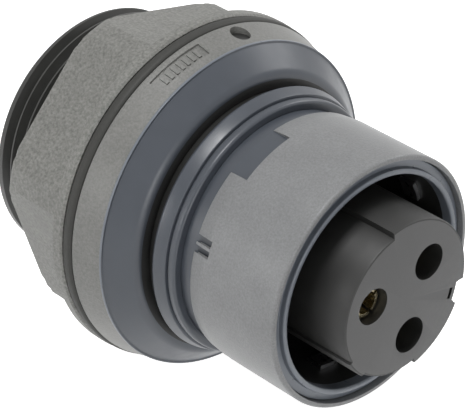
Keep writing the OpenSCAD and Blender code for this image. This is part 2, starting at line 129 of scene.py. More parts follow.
def signed_volume(points, triangles):
    """Sum of the signed volumes between each triangle and the origin."""
    a, b, c = (points[triangles[:, k]] for k in range(3))
    return float(np.einsum("ij,ij->i", a, np.cross(b, c)).sum() / 6)


def grid_faces(rows, columns, joined):
    """Corner numbers of the quads between neighbouring rows and columns, columns going round."""
    i, j = np.meshgrid(np.arange(rows if joined else rows - 1), np.arange(columns), indexing="ij")
    i2, j2 = (i + 1) % rows, (j + 1) % columns
    corners = [i * columns + j, i2 * columns + j, i2 * columns + j2, i * columns + j2]
    return np.stack(corners, -1).reshape(-1, 4)


def closed_piece(name, points, joined=True):
    """An object from points[row, column]: joined rows make a ring, else each end row gets a centre."""
    rows, columns = points.shape[:2]
    flat = points.reshape(-1, 3)
    quads = grid_faces(rows, columns, joined)
    triangles = np.empty((0, 3), int)
    if not joined:
        first, last = len(flat), len(flat) + 1
        flat = np.vstack([flat, points[0].mean(0), points[-1].mean(0)])
        j = np.arange(columns)
        j2 = (j + 1) % columns
        end = (rows - 1) * columns
        triangles = np.vstack([np.stack([np.full(columns, first), j, j2], 1),
                               np.stack([np.full(columns, last), end + j2, end + j], 1)])
    every = np.vstack([quads[:, [0, 1, 2]], quads[:, [0, 2, 3]], triangles])
    if signed_volume(flat, every) < 0:
        quads, triangles = quads[:, ::-1], triangles[:, ::-1]
    mesh = bpy.data.meshes.new(name)
    mesh.from_pydata(flat.tolist(), [], quads.tolist() + triangles.tolist())
    piece = bpy.data.objects.new(name, mesh)
    bpy.context.scene.collection.objects.link(piece)
    return piece


def soften(piece, angle=SHARP):
    """Smooth shading, with the edges that turn by more than angle kept sharp."""
    piece.data.shade_smooth()
    piece.data.set_sharp_from_angle(angle=angle)
    return piece


# %% [markdown]
# ## Profiles with rounded corners
#
# No moulded edge is sharp, and a small radius is what catches the light. A profile is written
# as a few corners, each with its place along the axis, its radius from the axis and the radius
# of its rounding. Each rounded corner becomes an arc that touches both of its sides.

# %% Rounded profile and turned piece
AROUND = 256


def rounded(corners, steps=7):
    """Closed profile from (x, r, rounding): each corner becomes an arc tangent to its two sides."""
    made = []
    count = len(corners)
    for k, (x, r, rounding) in enumerate(corners):
        here = np.array([x, r])
        if rounding <= 0:
            made.append(here[None])
            continue
        before = np.array(corners[k - 1][:2]) - here
        after = np.array(corners[(k + 1) % count][:2]) - here
        reach = [np.linalg.norm(before), np.linalg.norm(after)]
        u, v = before / reach[0], after / reach[1]
        half = math.acos(np.clip(u @ v, -1, 1)) / 2
        back = min(rounding / math.tan(half), 0.49 * min(reach))
        fit = back * math.tan(half)
        centre = here + (u + v) / np.linalg.norm(u + v) * fit / math.sin(half)
        start, end = here + u * back - centre, here + v * back - centre
        a0 = math.atan2(start[1], start[0])
        turn = (math.atan2(end[1], end[0]) - a0 + math.pi) % (2 * math.pi) - math.pi
        a = a0 + turn * np.linspace(0, 1, steps)
        made.append(centre + fit * np.stack([np.cos(a), np.sin(a)], 1))
    return np.vstack(made)


def around(profile, angles):
    """Points [row, column] of a profile of (x, r) carried round the axis, from +Y towards +Z."""
    x = np.repeat(profile[:, :1], len(angles), 1)
    r = profile[:, 1:]
    return np.stack([x, r * np.cos(angles), r * np.sin(angles)], -1)


def turned(name, corners, columns=AROUND):
    """A ring: the rounded profile of the corners, in millimetre roundings, carried round the axis."""
    profile = rounded([(x, r, rounding * MM) for x, r, rounding in corners])
    angles = np.linspace(0, 2 * math.pi, columns, endpoint=False)
    return closed_piece(name, around(profile, angles))


# %% [markdown]
# ## Cutting tools
#
# Slots, windows and chambers are cut as a machinist would: a tool of the right shape is
# subtracted. A sector is a piece of a thick ring, a block is a bar on one side of the axis,
# and a drill is a rod that may stand off the axis. The tool is deleted once it has cut.

# %% Sector, block, drill and the cut itself
def sector(r_in, r_out, x0, x1, a0, a1, steps=24, fall=0.0):
    """A piece of a ring from angle a0 to a1 in degrees, whose radii fall from x0 to x1."""
    a = np.radians(np.linspace(a0, a1, steps))
    corners = [(x0, r_in), (x0, r_out), (x1, r_out - fall), (x1, r_in - fall)]
    rows = [np.stack([np.full(steps, x), r * np.cos(a), r * np.sin(a)], 1) for x, r in corners]
    return closed_piece("tool", np.stack(rows, 1), joined=False)


def block(x0, x1, h0, h1, width, angle):
    """A bar on the side of the axis that angle names, from height h0 to h1."""
    c, s = math.cos(math.radians(angle)), math.sin(math.radians(angle))
    ends = []
    for x in (x0, x1):
        side = [(h0, -width / 2), (h1, -width / 2), (h1, width / 2), (h0, width / 2)]
        ends.append([(x, h * c - w * s, h * s + w * c) for h, w in side])
    return closed_piece("tool", np.array(ends), joined=False)


def drill(r, x0, x1, off=0.0, angle=0.0, columns=64):
    """A rod along the axis, moved off it by a distance at an angle."""
    a = np.linspace(0, 2 * math.pi, columns, endpoint=False)
    y = off * math.cos(math.radians(angle)) + r * np.cos(a)
    z = off * math.sin(math.radians(angle)) + r * np.sin(a)
    ends = [np.stack([np.full(columns, x), y, z], 1) for x in (x0, x1)]
    return closed_piece("tool", np.stack(ends), joined=False)


def peg(x, r, h0, h1, angle, columns=48):
    """A rod that points away from the axis at an angle, from height h0 to h1."""
    a = np.linspace(0, 2 * math.pi, columns, endpoint=False)
    c, s = math.cos(math.radians(angle)), math.sin(math.radians(angle))
    along, side = x + r * np.cos(a), r * np.sin(a)
    ends = [np.stack([along, h * c - side * s, h * s + side * c], 1) for h in (h0, h1)]
    return closed_piece("tool", np.stack(ends), joined=False)


def machine(piece, tools, operation="DIFFERENCE"):
    """Subtracts the tools from the piece, or adds them to it, and deletes them."""
    for tool in tools:
        step = piece.modifiers.new("machining", "BOOLEAN")
        step.operation = operation
        step.solver = "MANIFOLD"
        step.object = tool
    graph = bpy.context.evaluated_depsgraph_get()
    mesh = bpy.data.meshes.new_from_object(piece.evaluated_get(graph))
    piece.modifiers.clear()
    piece.data = mesh
    for tool in tools:
        bpy.data.objects.remove(tool)
    return piece


# %% [markdown]
# ## Colours and nodes
#
# Colours are written as they look on a screen, and Blender wants linear light, so one function
# turns the hex value into linear numbers. Another adds a node to a material with its settings
# and its links, which keeps each material short enough to read at a glance.

# %% Colour and node helpers
def linear(text, level=1.0):
    """Linear RGBA of an sRGB hex colour, made lighter or darker by level."""
    srgb = np.array([int(text[k:k + 2], 16) / 255 for k in (1, 3, 5)])
    light = np.where(srgb <= 0.04045, srgb / 12.92, ((srgb + 0.055) / 1.055) ** 2.4)
    return (*np.clip(light * level, 0, 1).tolist(), 1.0)


def add(material, kind, inputs=None, **settings):
    """Adds a node, sets its properties and its sockets, and links the sockets given as outputs."""
    made = material.node_tree.nodes.new(kind)
    for key, value in settings.items():
        setattr(made, key, value)
    for key, value in (inputs or {}).items():
        if isinstance(value, bpy.types.NodeSocket):
            material.node_tree.links.new(value, made.inputs[key])
        else:
            made.inputs[key].default_value = value
    return made


def new_material(name):
    """An empty material with its output node."""
    material = bpy.data.materials.new(name)
    material.use_nodes = True
    material.node_tree.nodes.clear()
    return material


def close_material(material, surface):
    """Links the surface to a new output node."""
    add(material, "ShaderNodeOutputMaterial", {"Surface": surface})
    return material


def noise(material, size, **more):
    """Noise from 0 to 1 whose blobs are about size millimetres wide, fixed to the piece."""
    place = add(material, "ShaderNodeTexCoord").outputs["Object"]
    return add(material, "ShaderNodeTexNoise", {"Vector": place, "Scale": 1 / (size * MM),
                                                **more}).outputs["Fac"]


def spread(material, value, low, high):
    """Stretches the middle of a noise over the range from low to high."""
    return add(material, "ShaderNodeMapRange", {"Value": value, "From Min": 0.3, "From Max": 0.7,
                                                "To Min": low, "To Max": high}).outputs["Result"]


def tinted(material, colour, level):
    """The colour, made lighter or darker by a level that varies over the surface."""
    return add(material, "ShaderNodeVectorMath", {0: linear(colour)[:3], "Scale": level},
               operation="SCALE").outputs["Vector"]


def bumped(material, height, strength, depth):
    """Normal of a relief that is depth millimetres deep."""
    return add(material, "ShaderNodeBump", {"Strength": strength, "Distance": depth * MM,
                                            "Height": height}).outputs["Normal"]


def plastic(material, tint, rough, normal, ior=1.53):
    """Closes a material with a plain dielectric shader."""
    return close_material(material, add(material, "ShaderNodeBsdfPrincipled", {
        "Base Color": tint, "Roughness": rough, "IOR": ior, "Normal": normal}).outputs["BSDF"])


# %% [markdown]
# ## Nylon with a spark texture
#
# The nut, the rim and the sleeve are glass-filled nylon from a mould whose walls were eroded
# by sparks. That leaves pits two or three tenths of a millimetre wide, so the surface looks
# sandy and its highlights are wide and soft. A fine noise drives the bump and the fine speckle, and
# a coarse one gives the faint clouds that glass fibre leaves in a moulding.

# %% Spark-textured nylon
def spark_textured_nylon(name, colour, grain, speckle, roughness=0.5, depth=0.07):
    """Sandy moulded nylon: grain is the width of the pits and depth their depth, in millimetres."""
    m = new_material(name)
    fine = noise(m, grain, Detail=2.0, Roughness=0.6)
    speckles = spread(m, fine, 1 - speckle, 1 + speckle)
    cloudy = spread(m, noise(m, 2.6, Detail=3.0), 0.95, 1.05)
    level = add(m, "ShaderNodeMath", {0: speckles, 1: cloudy}, operation="MULTIPLY").outputs[0]
    rough = spread(m, fine, roughness - 0.06, roughness + 0.06)
    return plastic(m, tinted(m, colour, level), rough, bumped(m, fine, 0.55, depth))


sleeve_nylon = spark_textured_nylon("spark_textured_nylon_sleeve", "#868788", grain=0.22, speckle=0.13,
                                    roughness=0.36)
rim_nylon = spark_textured_nylon("spark_textured_nylon_rim", "#7c7c79", grain=0.24, speckle=0.2,
                                 roughness=0.44, depth=0.05)
nut_nylon = spark_textured_nylon("spark_textured_nylon_nut", "#7f7f7b", grain=0.3, speckle=0.34)

# %% [markdown]
# ## Smooth moulded nylon
#
# The shoulder, the collar and the nose ring came from polished steel, so they keep a low
# sheen that shows long clean highlights. Slate is a dark blue grey. A very shallow, slow
# waviness and faint clouds of colour keep the surface from looking too even. The contact
# insert takes the same material with a rougher finish and a finer pattern.

# %% Smooth nylon
def smooth_nylon(name, colour, roughness=0.27, wave=0.004, pattern=1.4):
    """Polished moulding: a slow waviness, wave millimetres deep, and clouds of pattern millimetres."""
    m = new_material(name)
    clouds = noise(m, pattern, Detail=4.0)
    rough = spread(m, clouds, roughness - 0.03, roughness + 0.05)
    return plastic(m, tinted(m, colour, spread(m, clouds, 0.98, 1.02)), rough, bumped(m, clouds, 0.3, wave))


slate_nylon = smooth_nylon("smooth_nylon_slate", "#474c54", roughness=0.34)
# Lighter slate of the nose ring; the flange's ridge takes it too, as a painted highlight.
nose_and_ridge_highlight_nylon = smooth_nylon("smooth_nylon_nose_and_ridge_highlight", "#757b84", roughness=0.3)
black_nylon = smooth_nylon("smooth_nylon_black", "#353533", roughness=0.36)
# Near-black copy of the black nylon, used as painted shade: inside the mouth, in the grooves, on the mark's
# floor and on the insert's sides.
painted_shade_nylon = smooth_nylon("smooth_nylon_painted_shade", "#1c1c1b", roughness=0.5)
insert_nylon = smooth_nylon("matt_nylon_insert", "#5a5a5a", roughness=0.55, wave=0.012, pattern=0.5)

# %% [markdown]
# ## Rubber
#
# The gasket and the seals are nitrile rubber: black, slightly brown, and dull because their
# skin is microscopically wrinkled. A high roughness with a fine shallow bump says that.

# %% Rubber
def nitrile_rubber(name, colour, grain=0.3):
    """Dull rubber with a fine skin: grain in millimetres."""
    m = new_material(name)
    skin = noise(m, grain, Detail=3.0)
    tint = tinted(m, colour, spread(m, skin, 0.88, 1.14))
    return plastic(m, tint, 0.62, bumped(m, skin, 0.4, 0.02), ior=1.5)


gasket_rubber = nitrile_rubber("nitrile_rubber_gasket", "#2c2c29")
seal_rubber = nitrile_rubber("nitrile_rubber_seal", "#2a2a28")

# %% [markdown]
# ## Metal
#
# The contacts are turned brass with a plating, and the springs are bright steel. Turning
# leaves fine rings round each contact, which a wave pattern along X gives. A metal's colour is
# its base colour, with metallic at one and the default IOR.

# %% Turned and drawn metal
def turned_metal(name, colour, ring=0.12, roughness=0.22):
    """Metal with the fine rings of a lathe tool, ring millimetres apart along the axis."""
    m = new_material(name)
    place = add(m, "ShaderNodeTexCoord").outputs["Object"]
    rings = add(m, "ShaderNodeTexWave", {
        "Vector": place, "Scale": 1 / (ring * MM) / 20, "Distortion": 0.6, "Detail": 1.0},
        wave_type="BANDS", bands_direction="X").outputs["Fac"]
    rough = spread(m, noise(m, 0.9, Detail=3.0), roughness - 0.06, roughness + 0.08)
    shader = add(m, "ShaderNodeBsdfPrincipled", {
        "Base Color": linear(colour), "Metallic": 1.0, "Roughness": rough,
        "Normal": bumped(m, rings, 0.25, 0.006)})
    return close_material(m, shader.outputs["BSDF"])


plated_brass = turned_metal("plated_brass_contact", "#e6d9b4")
spring_steel = turned_metal("drawn_steel_spring", "#b9babc", roughness=0.3)


# %% Dress a piece
def off_axis(points):
    """Distance of each point from the axis."""
    return np.hypot(points[:, 1], points[:, 2])


def dress(piece, body, materials, nodes=(), pick=None):
    """Gives a piece its materials, its body and the nodes that it stands for."""
    piece.data.materials.clear()
    for material in materials:
        piece.data.materials.append(material)
    if pick is not None:
        centres = np.empty(len(piece.data.polygons) * 3)
        piece.data.polygons.foreach_get("center", centres)
        piece.data.polygons.foreach_set("material_index", pick(centres.reshape(-1, 3)).astype(np.int32))
    soften(piece)
    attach(piece, body)
    if nodes:
        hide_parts(*nodes)
    print(piece.name, "faces:", len(piece.data.polygons))
    return piece


# %% [markdown]
# ## Housing: threaded tail and front tube
#
# One black moulding runs from the threaded tail to the tube inside the sleeve. The tail is a
# plain cylinder first. Then a helical tool with the 60 degree section of a metric thread cuts
# the groove, as a die would. It starts behind a plain band at the tail's end and runs out
# under the flange, by growing shallow over its first and last third of a turn. The mouth is
# painted darker than the tail, as painted shade, and the hub behind the sleeve is slate.

# %% Helical thread tool
THREAD_PITCH = 1.5 * MM
THREAD_DEPTH = 0.92 * MM
PLAIN_BAND = 1.3 * MM


def thread_tool(crest_r, x0, x1, pitch=THREAD_PITCH, depth=THREAD_DEPTH, per_turn=128):
    """A bar with the section of a thread groove, carried along a helix that fades at both ends."""
    turns = (x1 - x0) / pitch
    t = np.linspace(0, turns, int(turns * per_turn))
    angle = 2 * math.pi * t
    fade = np.clip(np.minimum(t, turns - t) / 0.33, 0, 1)
    proud = 0.06 * MM
    root_r = crest_r + 0.03 * MM - (depth + 0.03 * MM) * fade
    slope = math.tan(math.radians(30))
    half_top = pitch * 7 / 16 + proud * slope
    half_root = half_top - (crest_r + proud - root_r) * slope
    x = x0 + pitch * t
    rows = [(x - half_top, crest_r + proud + 0 * t), (x - half_root, root_r),
            (x + half_root, root_r), (x + half_top, crest_r + proud + 0 * t)]
    points = np.stack([np.stack([px, r * np.cos(angle), r * np.sin(angle)], 1) for px, r in rows], 1)
    return closed_piece("tool", points, joined=False)


# %% Housing
TAIL_BORE = 11.0 * MM
HUB_R = 13.1 * MM
SEAT_X = 1.6 * MM
HUB_X1 = sleeve_x0 + 2.45 * MM
TUBE_R = 12.6 * MM
SPIGOT_R = 12.1 * MM
PARTITION_X0 = -1.0 * MM
PARTITION_R = 8.3 * MM

housing = turned("housing_look", [
    (tail_x0, TAIL_BORE, 0.3), (tail_x0, thread_r - 0.7 * MM, 0.2), (tail_x0 + 0.7 * MM, thread_r, 0.2),
    (SEAT_X, thread_r, 0.1), (SEAT_X, HUB_R, 0), (HUB_X1, HUB_R, 0.1), (HUB_X1, TUBE_R, 0),
    (nose_x0, TUBE_R, 0), (nose_x0, SPIGOT_R, 0), (tube_x1, SPIGOT_R, 0), (tube_x1, mouth_r, 0),
    (seal_x0, mouth_r, 0.3), (seal_x0, PARTITION_R, 0), (PARTITION_X0, PARTITION_R, 0),
    (PARTITION_X0, TAIL_BORE, 0.5)])
LATCH_ANGLES = (23, 143, 263)
tooth = (latch_x1 - latch_x0) / 2 - 0.4 * MM
latch_x = (latch_x0 + latch_x1) / 2
WINDOW_WIDTH = 2.5 * MM
POCKET_WIDTH = 3.3 * MM
POCKET_FLOOR = mouth_r + 0.35 * MM
windows = [block(latch_x - tooth - SEAT_PLAY, latch_x + tooth + SEAT_PLAY, 9 * MM, TUBE_R + MM,
                 WINDOW_WIDTH, a) for a in LATCH_ANGLES]
pockets = [block(latch_x0 - SEAT_PLAY, latch_x1 + SEAT_PLAY, POCKET_FLOOR, TUBE_R + MM, POCKET_WIDTH, a)
           for a in LATCH_ANGLES]
thread = thread_tool(thread_r, tail_x0 + PLAIN_BAND, nut_x1 - 0.5 * MM)
machine(housing, windows + pockets + [thread])
KEY_ANGLE, KEY_HALF = 7.0, 1.6
KEY_HEIGHT, KEY_LEN = 0.8 * MM, 6 * MM
key = sector(mouth_r - KEY_HEIGHT, mouth_r + 0.1 * MM, tube_x1 - KEY_LEN, tube_x1, KEY_ANGLE - KEY_HALF,
             KEY_ANGLE + KEY_HALF)
machine(housing, [key], "UNION")


def housing_material(centre):
    """Threaded tail 0, the front part and mouth painted near black as shade 1, and the smooth hub that shows
    behind the sleeve 2.
    """
    on_hub = (off_axis(centre) > TUBE_R + 0.1 * MM) & (centre[:, 0] < HUB_X1 + MM)
    return np.where(centre[:, 0] > SEAT_X + MM, np.where(on_hub, 2, 1), 0)


# Faces in front of the flange, apart from the hub, take the near-black nylon as painted shade.
dress(housing, "connector", [black_nylon, painted_shade_nylon, slate_nylon], ["housing"],
      housing_material)

# %% [markdown]
# ## Flange shell
#
# A textured rim ends in a fine ridge, where the mould halves met. In front of it the smooth
# shoulder slopes like a cone, rounds over and drops straight into the groove in front of the
# collar. The faces behind the ridge are textured, the ridge is painted lighter as a painted
# highlight, the shoulder is smooth and the groove is painted near black as shade. A sunk
# nameplate area holds plain bars, and beside it is a round mark, whose floor is painted near
# black as shade.

# %% Flange shell
RIM_X1 = shell_x0 + 3.7 * MM
RIDGE_W = 0.3 * MM
RIM_FRONT_R = shell_r - 0.85 * MM
SHOULDER_R = RIM_FRONT_R - 0.2 * MM
SHOULDER_SLOPE = math.radians(43)
SHOULDER_ROUND = 1.4 * MM
GROOVE_R = HUB_R + 0.8 * MM
PLATE_X = (shell_x0 + 0.75 * MM, shell_x0 + 2.45 * MM)
PLATE_SPAN = (97.5, 118.5)
BAR_X = (PLATE_X[0] + 0.3 * MM, PLATE_X[1] - 0.3 * MM)
BAR_PITCH, BAR_SPAN = 2.4, 1.1
PLATE_SINK, BAR_HEIGHT = 0.25 * MM, 0.15 * MM
MARK_X = sum(PLATE_X) / 2
MARK_ANGLE = 82
MARK_R, MARK_SINK = 1.1 * MM, 0.5 * MM
RIDGE_H = 0.08 * MM


def rim_surface(x):
    """Radius of the rim's drafted surface at a place along the axis."""
    return float(np.interp(x, [shell_x0, RIM_X1 - RIDGE_W], [shell_r, RIM_FRONT_R]))


round_x = shell_x1 - SHOULDER_ROUND
round_r = (SHOULDER_R - (round_x - RIM_X1) * math.tan(SHOULDER_SLOPE)
           - SHOULDER_ROUND / math.cos(SHOULDER_SLOPE))
shoulder = [(round_x + SHOULDER_ROUND * math.cos(a), round_r + SHOULDER_ROUND * math.sin(a), 0)
            for a in np.linspace(math.pi / 2 - SHOULDER_SLOPE, 0, 16)]
slope = [(x, np.interp(x, [RIM_X1, shoulder[0][0]], [SHOULDER_R, shoulder[0][1]]), 0)
         for x in np.linspace(RIM_X1 + 0.1 * MM, shoulder[0][0], 8)[:-1]]
shell = turned("flange_shell_look", [
    (shell_x0, thread_r + SEAT_PLAY, 0.1), (shell_x0, shell_r, 0.2), (RIM_X1 - RIDGE_W, RIM_FRONT_R, 0.05),
    (RIM_X1 - RIDGE_W + 0.05 * MM, RIM_FRONT_R + RIDGE_H, 0.04), (RIM_X1, RIM_FRONT_R + RIDGE_H, 0.08),
    (RIM_X1, SHOULDER_R, 0.03)] + slope + shoulder + [
    (shell_x1, GROOVE_R + SEAT_PLAY, 0.05), (collar_x0, GROOVE_R + SEAT_PLAY, 0),
    (collar_x0, HUB_R + SEAT_PLAY, 0), (SEAT_X, HUB_R + SEAT_PLAY, 0), (SEAT_X, thread_r + SEAT_PLAY, 0)])
plate = sector(rim_surface(PLATE_X[0]) - PLATE_SINK, shell_r + MM, *PLATE_X, *PLATE_SPAN,
               fall=rim_surface(PLATE_X[0]) - rim_surface(PLATE_X[1]))
mark = peg(MARK_X, MARK_R, rim_surface(MARK_X) - MARK_SINK, shell_r + MM, MARK_ANGLE)
bar_r = rim_surface(BAR_X[0])
bars = [sector(bar_r - PLATE_SINK - 0.3 * MM, bar_r - PLATE_SINK + BAR_HEIGHT, *BAR_X, a, a + BAR_SPAN, 5,
               fall=bar_r - rim_surface(BAR_X[1]))
        for a in np.arange(PLATE_SPAN[0] + BAR_PITCH, PLATE_SPAN[1] - BAR_PITCH, BAR_PITCH)]
machine(shell, [plate, mark])
machine(shell, bars, "UNION")


def shell_material(centre):
    """Textured rim 0, smooth shoulder 1, groove and mark floor in painted shade 2, and the ridge with its
    painted highlight 3.
    """
    x, r = centre[:, 0], off_axis(centre)
    tilt = np.arctan2(centre[:, 2], centre[:, 1]) - math.radians(MARK_ANGLE)
    # The mark's floor and the groove get painted shade.
    mark_painted_shade = (np.hypot(x - MARK_X, r * tilt) < MARK_R - SEAT_PLAY) & (r < rim_surface(MARK_X) - 0.2 * MM)
    groove_painted_shade = (x > shell_x1 - 0.02 * MM) & (r < round_r)
    # The ridge is painted lighter: a painted highlight.
    ridge_painted_highlight = (x > RIM_X1 - RIDGE_W) & (r > RIM_FRONT_R)
    return np.select([mark_painted_shade | groove_painted_shade, ridge_painted_highlight, x > RIM_X1 - RIDGE_W], [2, 3, 1], 0)


# The groove and the mark's floor take the near-black nylon as painted shade, and the ridge the lighter nylon
# as a painted highlight.
dress(shell, "connector", [rim_nylon, slate_nylon, painted_shade_nylon, nose_and_ridge_highlight_nylon],
      ["flange_shell"], shell_material)

# %% [markdown]
# ## Collar ring
#
# A polished ring fills the space between the flange and the sleeve. Its groove lies in the
# shadow of the shoulder, its bead is highest at the rear and falls towards the plug, and a low
# step ends it. The groove's floor is painted near black as that shadow. The rounded edges of
# both draw thin bright lines round the connector.

# %% Collar ring
CREST_R = radius("collar_ring")
BEAD_X0 = shell_x1 + 1.1 * MM
BEAD_X1 = BEAD_X0 + 1.65 * MM
BEAD_FALL = 0.5 * MM
STEP_R = GROOVE_R + 0.2 * MM
collar = turned("collar_ring_look", [
    (collar_x0, HUB_R + SEAT_PLAY, 0), (collar_x0, GROOVE_R, 0), (BEAD_X0, GROOVE_R, 0.2),
    (BEAD_X0, CREST_R, 0.4), (BEAD_X1, CREST_R - BEAD_FALL, 0.12), (BEAD_X1, GROOVE_R, 0.03),
    (BEAD_X1 + 0.2 * MM, STEP_R, 0.15), (collar_x1, STEP_R, 0.35), (collar_x1, HUB_R + SEAT_PLAY, 0)])


def groove_painted_shade(centre):
    """Faces of the collar that are the floor of the groove, painted near black as shade."""
    return (centre[:, 0] < BEAD_X0 + 0.02 * MM) & (off_axis(centre) < STEP_R)


# The groove's floor takes the near-black nylon: painted shade.
dress(collar, "connector", [slate_nylon, painted_shade_nylon], ["collar_ring"], groove_painted_shade)

# %% [markdown]
# ## Release sleeve
#
# The sleeve is what fingers pull, so it is textured. Its rear end has a short ramp, three wide
# shallow recesses with a smooth floor, and pairs of small notches. Inside are the rib that
# stops it at the nose flange and the land with its cam that holds the latches down.

# %% Release sleeve
SLEEVE_BORE = 13.2 * MM
RAMP_LEN, RAMP_FALL = 1.8 * MM, 0.2 * MM
LAND_R = TUBE_R + 0.08 * MM
LAND_LEN = 0.7 * MM
RIB_X1 = nose_x0 + 1.75 * MM
RIB_X0 = RIB_X1 - 0.85 * MM
LAND_X1 = latch_x - tooth
SLEEVE_TRAVEL, LATCH_LIFT = 1.4 * MM, 0.5 * MM
CAM_LEN = (SLEEVE_BORE - LAND_R) * SLEEVE_TRAVEL / LATCH_LIFT
sleeve = turned("release_sleeve_look", [
    (sleeve_x0, SLEEVE_BORE, 0), (sleeve_x0, sleeve_r - RAMP_FALL, 0.12),
    (sleeve_x0 + RAMP_LEN, sleeve_r, 0.3), (sleeve_x1, sleeve_r, 0.42), (sleeve_x1, SLEEVE_BORE, 0.05),
    (RIB_X1, SLEEVE_BORE, 0), (RIB_X1, LAND_R, 0), (RIB_X0, LAND_R, 0), (RIB_X0, SLEEVE_BORE, 0),
    (LAND_X1 + CAM_LEN, SLEEVE_BORE, 0), (LAND_X1, LAND_R, 0), (LAND_X1 - LAND_LEN, LAND_R, 0),
    (LAND_X1 - LAND_LEN, SLEEVE_BORE, 0)])
RECESS_FLOOR = sleeve_r - 0.3 * MM
RECESS_X1 = sleeve_x0 + 2.4 * MM
RECESS_ANGLE, RECESS_HALF = 113.7, 13.3
NOTCH_X1 = sleeve_x0 + 2.2 * MM
NOTCH_ANGLES, NOTCH_HALF = (157.7, 162.3), 1.65
THIRDS = (0, 120, 240)
recesses = [sector(RECESS_FLOOR, sleeve_r + MM, sleeve_x0 - MM, RECESS_X1, RECESS_ANGLE + third - RECESS_HALF,
                   RECESS_ANGLE + third + RECESS_HALF) for third in THIRDS]
notches = [sector(SLEEVE_BORE - MM, sleeve_r + MM, sleeve_x0 - MM, NOTCH_X1, third + a - NOTCH_HALF,
                  third + a + NOTCH_HALF, 5) for third in THIRDS for a in NOTCH_ANGLES]
machine(sleeve, recesses + notches)


def on_recess_floor(centre):
    """Faces of the smooth floors: outside the bore, and just at the recesses' depth."""
    return (abs(off_axis(centre) - RECESS_FLOOR) < 0.04 * MM) & (centre[:, 0] < RECESS_X1)


dress(sleeve, "sleeve", [sleeve_nylon, slate_nylon], ["release_sleeve"], on_recess_floor)

# %% [markdown]
# ## Nose ring
#
# A smooth ring closes the tube's end. Its bright lip frames the mouth, and its flange lies a
# little deeper than the sleeve's edge, which gives the dark line between the two.

# %% Nose ring
LIP_LEN = 0.7 * MM
LIP_OUT = 12.25 * MM
NOSE_STEP_X = nose_x0 + 1.8 * MM
NOSE_FLANGE_X = nose_x1 - LIP_LEN
nose = turned("nose_ring_look", [
    (nose_x0, SPIGOT_R + SEAT_PLAY, 0), (nose_x0, TUBE_R, 0), (NOSE_STEP_X, TUBE_R, 0),
    (NOSE_STEP_X, nose_flange_r, 0), (NOSE_FLANGE_X, nose_flange_r, 0.1), (NOSE_FLANGE_X, LIP_OUT, 0.1),
    (nose_x1, LIP_OUT, 0.2), (nose_x1, mouth_r, 0.25), (tube_x1 + 0.02 * MM, mouth_r, 0),
    (tube_x1 + 0.02 * MM, SPIGOT_R + SEAT_PLAY, 0)])
dress(nose, "connector", [nose_and_ridge_highlight_nylon], ["nose_ring"])

# %% [markdown]
# ## Hex nut
#
# The nut is a surface of two parameters: the place along the axis and the angle round it. Its
# radius is that of the hexagon, but never more than the turned-down corners allow, and never
# less than the cone and the flange that the hexagon runs into. Angles are chosen so that
# every edge of the hexagon falls on a column of the grid.

# %% Hex nut
NUT_APOTHEM = 16.0 * MM
NUT_CORNER_R = 17.8 * MM
NUT_FLAT_ANGLE = 18.4
NUT_BORE = thread_r + 0.08 * MM
NUT_FLANGE_X = nut_x1 - 1.5 * MM
NUT_CONE_X = NUT_FLANGE_X - 2.0 * MM
nut_flange_r = radius("hex_nut")


def hexagon(angle, apothem):
    """Radius of a hexagon at an angle from the middle of one of its flats."""
    turn = (angle + math.pi / 6) % (math.pi / 3) - math.pi / 6
    return apothem / np.cos(turn)


corner = math.acos(NUT_APOTHEM / NUT_CORNER_R)
sixth = np.concatenate([np.linspace(-corner, corner, 40, endpoint=False),
                        np.linspace(corner, math.pi / 3 - corner, 8, endpoint=False)])
nut_angles = np.concatenate([sixth + k * math.pi / 3 for k in range(6)])
station = np.array([(nut_x0, NUT_CORNER_R - 0.75 * MM, 0), (nut_x0 + 0.3 * MM, NUT_CORNER_R - 0.25 * MM, 0),
                    (nut_x0 + 0.9 * MM, NUT_CORNER_R, 0), (NUT_CONE_X, NUT_CORNER_R, NUT_APOTHEM + 0.1 * MM),
                    (NUT_CONE_X + 0.7 * MM, NUT_CORNER_R, NUT_APOTHEM + 0.6 * MM),
                    (NUT_CONE_X + 1.3 * MM, NUT_CORNER_R, NUT_APOTHEM + 1.5 * MM),
                    (NUT_CONE_X + 1.8 * MM, NUT_CORNER_R, NUT_APOTHEM + 2.7 * MM),
                    (NUT_FLANGE_X, NUT_CORNER_R, nut_flange_r - 0.25 * MM),
                    (NUT_FLANGE_X + 0.25 * MM, NUT_CORNER_R, nut_flange_r),
                    (nut_x1 - 0.2 * MM, NUT_CORNER_R, nut_flange_r),
                    (nut_x1, NUT_CORNER_R, nut_flange_r - 0.2 * MM)])
outside = np.maximum(np.minimum(hexagon(nut_angles, NUT_APOTHEM)[None], station[:, 1:2]), station[:, 2:3])
inside_x = np.array([nut_x1, nut_x1 - 0.4 * MM, nut_x0 + 0.8 * MM, nut_x0])
inside_r = np.array([NUT_BORE + 0.4 * MM, NUT_BORE, NUT_BORE, NUT_BORE + 0.8 * MM])
rows_r = np.vstack([outside, np.repeat(inside_r[:, None], len(nut_angles), 1)])
rows_x = np.concatenate([station[:, 0], inside_x])[:, None] + 0 * rows_r
turn = nut_angles + math.radians(NUT_FLAT_ANGLE)
nut = closed_piece("hex_nut_look", np.stack([rows_x, rows_r * np.cos(turn), rows_r * np.sin(turn)], -1))
dress(nut, "nut", [nut_nylon], ["hex_nut"])

# %% [markdown]
# ## Gasket
#
# A flat rubber ring lies against the flange. The nut squeezes it, so its edge bulges a little.

# %% Panel gasket
gasket = turned("panel_gasket_look", [
    (gasket_x0, thread_r + 0.2 * MM, 0.2), (gasket_x0, radius("panel_gasket"), 0.45),
    (gasket_x1, radius("panel_gasket"), 0.45), (gasket_x1, thread_r + 0.2 * MM, 0.2)])
dress(gasket, "gasket", [gasket_rubber], ["panel_gasket"])

